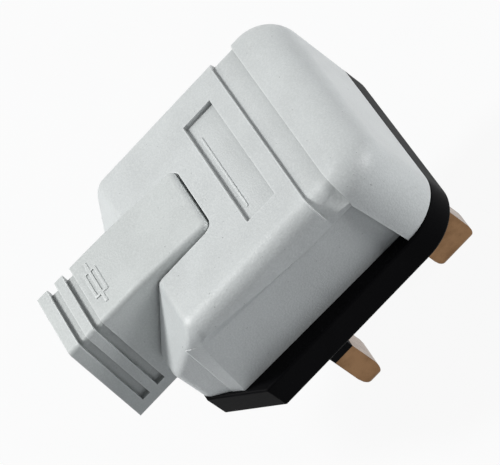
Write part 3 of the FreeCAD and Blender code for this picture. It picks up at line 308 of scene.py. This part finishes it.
pin_brass = metal("pin_brass", (0.235, 0.135, 0.070), (0.168, 0.094, 0.047), 0.12, ALONG_PIN)
terminal_brass = metal("terminal_brass", (0.70, 0.53, 0.26), (0.62, 0.46, 0.22), 0.20)
clip_bronze = metal("clip_bronze", (0.72, 0.50, 0.30), (0.62, 0.42, 0.24), 0.16)
fuse_cap_metal = metal("fuse_cap_metal", (0.72, 0.70, 0.66), (0.64, 0.62, 0.58), 0.14)
screw_steel = metal("screw_steel", (0.62, 0.62, 0.61), (0.52, 0.53, 0.54), 0.22)
print("metals ready")

# %% [markdown]
# ### Ceramic and fibre
# The fuse's tube is chalky ceramic with tiny pores. The grip bar and the washer are red fibre board,
# whose layers show as streaks.

# %% Ceramic and fibre
ALONG_BOARD = (0.3, 1, 4)


def board(name, tone, second, scale, stretch, rough):
    material, shader, place, normal = start(name, edge=0.1 * MM)
    laid = place.node("ShaderNodeMapping", Vector=place, Scale=stretch)
    streak = noise(laid, scale, detail=3, rough=0.6)
    colour = streak.ramp(0.3, 0.7).mix(rgb(*tone), rgb(*second))
    feed(shader, Base_Color=colour, Roughness=streak * 0.15 + rough,
         Normal=bump(streak, normal, strength=0.2, distance=0.03 * MM))
    return material


fuse_ceramic = board("fuse_ceramic", (0.80, 0.77, 0.70), (0.72, 0.69, 0.62), 2600, EVEN, 0.55)
grip_fibre = board("grip_fibre", (0.30, 0.07, 0.045), (0.22, 0.05, 0.035), 900, ALONG_BOARD, 0.6)
print("ceramic and fibre ready")

# %% [markdown]
# ## Dress the nodes
# A CAD node keeps its mesh and its place. Only its material slots change, and the record says which
# slot each node takes its finish from.

# %% Give each node its finish
FINISHES = {
    "base_plastic": base_black,
    "cover_plastic": cover_grey,
    "sleeve_plastic": sleeve_grey,
    "pin_brass": pin_brass,
    "insulator_plastic": insulator_black,
    "fuse_ceramic": fuse_ceramic,
    "fuse_cap_metal": fuse_cap_metal,
    "clip_bronze": clip_bronze,
    "terminal_brass": terminal_brass,
    "grip_fibre": grip_fibre,
    "screw_steel": screw_steel,
}
for subpart in frame["record"]["subparts"]:
    mesh = nodes[subpart["node"]].data
    mesh.materials.clear()
    mesh.materials.append(FINISHES[subpart["material_slot"]])
print(f"{len(FINISHES)} finishes on {len(nodes)} nodes")

# %% [markdown]
# ## Pin tips
# Across Y the tip of a real pin is softer than the solid's, nearly a half round on the line pins. So a
# copy of each pin stands for the solid. Bisect cuts the copy at a few levels near its tip, which
# changes no face, and the points that lie outside the longer round are then drawn in onto it.

# %% Round the pin tips
LINE_TIP = {"inset": 1.9 * MM, "depth": 2.8 * MM}
EARTH_TIP = {"inset": 1.6 * MM, "depth": 2.2 * MM}
TIP_ROUNDS = {"live_pin": LINE_TIP, "neutral_pin": LINE_TIP, "earth_pin": EARTH_TIP}
TIP_CUTS = 9
MERGE_REACH = 0.0001 * MM
SMOOTH_ANGLE = radians(40)


def select_only(piece):
    bpy.ops.object.select_all(action="DESELECT")
    piece.select_set(True)
    bpy.context.view_layer.objects.active = piece


def circle_drop(share):
    """How far a quarter circle of radius 1 has dropped at this share of its way, from 0 to 1."""
    return 1 - sqrt(1 - min(max(share, 0), 1) ** 2)


def round_tip(node, inset, depth):
    """A copy of a pin in its place, with an end that comes in by inset on both sides over a depth."""
    piece = bpy.data.objects.new(f"{node}_brass", nodes[node].data.copy())
    bpy.context.scene.collection.objects.link(piece)
    select_only(piece)
    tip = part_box(node)[0].z
    bpy.ops.object.mode_set(mode="EDIT")
    bpy.ops.mesh.select_all(action="SELECT")
    bpy.ops.mesh.remove_doubles(threshold=MERGE_REACH)
    for cut in range(1, TIP_CUTS + 1):
        level = tip + depth * circle_drop(cut / TIP_CUTS)
        bpy.ops.mesh.select_all(action="SELECT")
        bpy.ops.mesh.bisect(plane_co=(0, 0, level), plane_no=(0, 0, 1))
    bpy.ops.object.mode_set(mode="OBJECT")
    near = [point.co for point in piece.data.vertices if point.co.z < tip + depth]
    low, high = min(co.y for co in near), max(co.y for co in near)
    for co in near:
        drawn = inset * circle_drop(1 - (co.z - tip) / depth)
        co.y = min(max(co.y, low + drawn), high - drawn)
    bpy.ops.mesh.customdata_custom_splitnormals_clear()
    bpy.ops.object.shade_smooth_by_angle(angle=SMOOTH_ANGLE)
    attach(piece, "root")
    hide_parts(node)
    print(f"{piece.name}: {len(near)} points on its tip")


for node, sizes in TIP_ROUNDS.items():
    round_tip(node, **sizes)

# %% [markdown]
# ## Raised marks
# A moulded mark stands out of the plastic by a fifth of a millimetre, so it is no solid of the CAD
# model. It is drawn as on paper: a plane at its size, an inset where it is an open frame, and an
# extrude upwards. It begins a little below the surface that carries it, so that no gap shows.

# %% Draw a bar or a frame and raise it
MARK_RISE = 0.22 * MM
MARK_ROOT = 0.12 * MM


def raised(name, width, length, line=0.0):
    """A bar of this size about the origin, or an open frame with lines of a given width."""
    bpy.ops.object.select_all(action="DESELECT")
    bpy.ops.mesh.primitive_plane_add(size=1)
    mark = bpy.context.object
    mark.name = name
    mark.scale = (width, length, 1)
    bpy.ops.object.transform_apply(scale=True)
    bpy.ops.object.mode_set(mode="EDIT")
    bpy.ops.mesh.select_all(action="SELECT")
    if line:
        bpy.ops.mesh.inset(thickness=line)
        bpy.ops.mesh.delete(type="ONLY_FACE")
        bpy.ops.mesh.select_all(action="SELECT")
    upwards = {"value": (0, 0, MARK_RISE + MARK_ROOT)}
    bpy.ops.mesh.extrude_region_move(TRANSFORM_OT_translate=upwards)
    bpy.ops.mesh.select_all(action="SELECT")
    bpy.ops.mesh.normals_make_consistent(inside=False)
    bpy.ops.object.mode_set(mode="OBJECT")
    return mark


print(f"marks stand {MARK_RISE / MM:.2f} mm proud")

# %% [markdown]
# ### Lay a mark on a surface
# A surface may slope, as the sleeve's back does. A ray cast straight down finds where it is and which
# way it faces, and the mark is tipped to match before its place goes into its mesh.

# %% Lay a mark on a surface
MARK_SOFTNESS = 0.08 * MM


def lay_mark(mark, node, x, y, material):
    """Softens a mark's edges, lays it on a node's surface at x, y and gives it that node's finish."""
    select_only(mark)
    soft = mark.modifiers.new("soft_edges", "BEVEL")
    soft.width = MARK_SOFTNESS
    soft.segments = 2
    bpy.ops.object.modifier_apply(modifier=soft.name)
    found, place, normal, _ = nodes[node].ray_cast((x, y, 1), (0, 0, -1))
    if not found:
        raise RuntimeError(f"nothing of {node} under {mark.name}")
    mark.rotation_euler = (-asin(normal.y), 0, 0)
    mark.location = place - normal * MARK_ROOT
    bpy.ops.object.transform_apply(location=True, rotation=True)
    bpy.ops.object.shade_smooth_by_angle(angle=SMOOTH_ANGLE)
    mark.data.materials.append(material)
    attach(mark, "root")
    print(f"{mark.name} on {node} at {[round(p / MM, 2) for p in place]} mm")


print(f"marks have edges softened by {MARK_SOFTNESS / MM:.2f} mm")

# %% [markdown]
# ### Fuse sign
# A plug of this kind holds a fuse, and its sleeve carries the plain sign for one, a long box with a
# line through it. Box and line cross, so a Boolean makes them one before the edges are softened.

# %% Fuse sign on the sleeve
SIGN_LINE = 0.5 * MM
fuse_sign = raised("fuse_sign", 6.4 * MM, 2.7 * MM, SIGN_LINE)
through_line = raised("through_line", 10.6 * MM, SIGN_LINE)
bpy.context.view_layer.objects.active = fuse_sign
union = fuse_sign.modifiers.new("with_line", "BOOLEAN")
union.operation = "UNION"
union.object = through_line
bpy.ops.object.modifier_apply(modifier=union.name)
bpy.data.objects.remove(through_line)
lay_mark(fuse_sign, "cable_sleeve", 0, -27.9 * MM, sleeve_grey)

# %% [markdown]
# ### Rule in the label recess
# The recess in the back is a field for marking. It stays bare but for one thin rule along it.

# %% Rule in the label recess
label_rule = raised("label_rule", 20.0 * MM, 0.34 * MM)
lay_mark(label_rule, "cover", 0.4 * MM, -1.5 * MM, cover_grey)

# %% [markdown]
# ## Studio
# A pale floor lies under the tip of the longest pin. A disc with an inset is enough, because all that
# it does is catch the shadow.

# %% Floor
FLOOR_RADIUS = 3.0
bpy.ops.object.select_all(action="DESELECT")
bpy.ops.mesh.primitive_circle_add(vertices=96, radius=FLOOR_RADIUS, fill_type="NGON",
                                  location=(0, 0, cad_low.z))
floor = bpy.context.object
floor.name = "studio_floor"
bpy.ops.object.mode_set(mode="EDIT")
bpy.ops.mesh.select_all(action="SELECT")
bpy.ops.mesh.inset(thickness=FLOOR_RADIUS / 2)
bpy.ops.object.mode_set(mode="OBJECT")
bpy.ops.object.transform_apply(location=True)
print(f"floor at z {cad_low.z / MM:.2f} mm")

# %% [markdown]
# ### White surroundings
# The background is white to the camera and in reflections, by Light Path, while the light that falls
# on the plug comes from the lamps and a soft sky. The floor mixes in the same white, but less than
# wholly, so it keeps the plug's shadow. What it throws back at the plug is its own grey, so the sides
# are not lit from below too much.

# %% Floor paper
WHITE = rgb(1, 1, 1)
WHITE_SHARE = 0.93
SEEN_RAYS = ("Is Camera Ray", "Is Glossy Ray", "Is Transmission Ray")


def seen_white(wire):
    """1 where the camera, a reflection or a refraction looks."""
    rays = wire.tree.nodes.new("ShaderNodeLightPath").outputs
    camera_ray, glossy_ray, through_ray = (Wire(wire.tree, rays[name]) for name in SEEN_RAYS)
    return (camera_ray + glossy_ray + through_ray) > 0.5


paper = bpy.data.materials.new("floor_paper")
paper.use_nodes = True
paper_tree = paper.node_tree
paper_shader = paper_tree.nodes["Principled BSDF"]
paper_shader.inputs["Roughness"].default_value = 0.9
paper_shader.inputs["Specular IOR Level"].default_value = 0.1
where = object_place(paper_tree)
fibre = noise(where, 40).ramp(0.3, 0.7)
feed(paper_shader, Base_Color=fibre.mix(rgb(0.44, 0.455, 0.475), rgb(0.48, 0.495, 0.515)))
glow = where.node("ShaderNodeEmission", Color=WHITE, Strength=1.0)
lit = Wire(paper_tree, paper_shader.outputs[0])
backing = where.node("ShaderNodeMixShader", i0=seen_white(where) * WHITE_SHARE, i1=lit, i2=glow)
paper_tree.links.new(backing.socket, paper_tree.nodes["Material Output"].inputs["Surface"])
floor.data.materials.append(paper)
print(f"floor mixes in {WHITE_SHARE:.0%} white")

# %% [markdown]
# ### Sky
# The world has the same two sides: plain white where it is seen, and a faint, cool light elsewhere,
# which fills the shadows a little.

# %% Sky
SKY_LIGHT = 0.085
world = bpy.data.worlds.new("studio_sky")
world.use_nodes = True
bpy.context.scene.world = world
sky_tree = world.node_tree
sky = Wire(sky_tree, sky_tree.nodes["Background"].outputs[0])
white_sky = sky.node("ShaderNodeBackground", Color=WHITE, Strength=1.0)
soft_sky = sky.node("ShaderNodeBackground", Color=rgb(0.94, 0.96, 1.0), Strength=SKY_LIGHT)
both = sky.node("ShaderNodeMixShader", i0=seen_white(sky), i1=soft_sky, i2=white_sky)
sky_tree.links.new(both.socket, sky_tree.nodes["World Output"].inputs["Surface"])
print(f"sky light {SKY_LIGHT}")

# %% [markdown]
# ## Light
# Four lamps light the plug. The key is the smallest and stands high over the flex end, towards the
# far side, so every step behind it has a thin, dark shadow, which draws the grooves. Two broad, low
# ones open up the flex end and the cap at the earth end, and one overhead gives the long rolls their
# sheen. Only the low ones graze the side that the camera looks at, so that side is the darkest.


# %% Lamps
def lamp(name, place, size, watts, tint):
    """A round area lamp of this width that faces the origin."""
    data = bpy.data.lights.new(name, "AREA")
    data.shape = "DISK"
    data.size = size
    data.energy = watts
    data.color = tint
    item = bpy.data.objects.new(name, data)
    bpy.context.scene.collection.objects.link(item)
    item.location = place
    item.rotation_mode = "QUATERNION"
    item.rotation_quaternion = (-Vector(place)).to_track_quat("-Z", "Y")


lamp("key_lamp", (-0.24, -0.40, 0.66), size=0.2, watts=5.7, tint=(1.0, 1.0, 0.99))
lamp("flex_lamp", (0.08, -0.78, 0.16), size=0.6, watts=0.9, tint=(0.95, 0.98, 1.0))
lamp("top_lamp", (0.0, 0.0, 0.8), size=0.4, watts=0.4, tint=(1.0, 1.0, 0.99))
lamp("cap_lamp", (0.25, 0.73, 0.18), size=0.4, watts=3.9, tint=(1.0, 1.0, 1.0))
bpy.context.scene.view_settings.view_transform = "Standard"
print("four lamps")
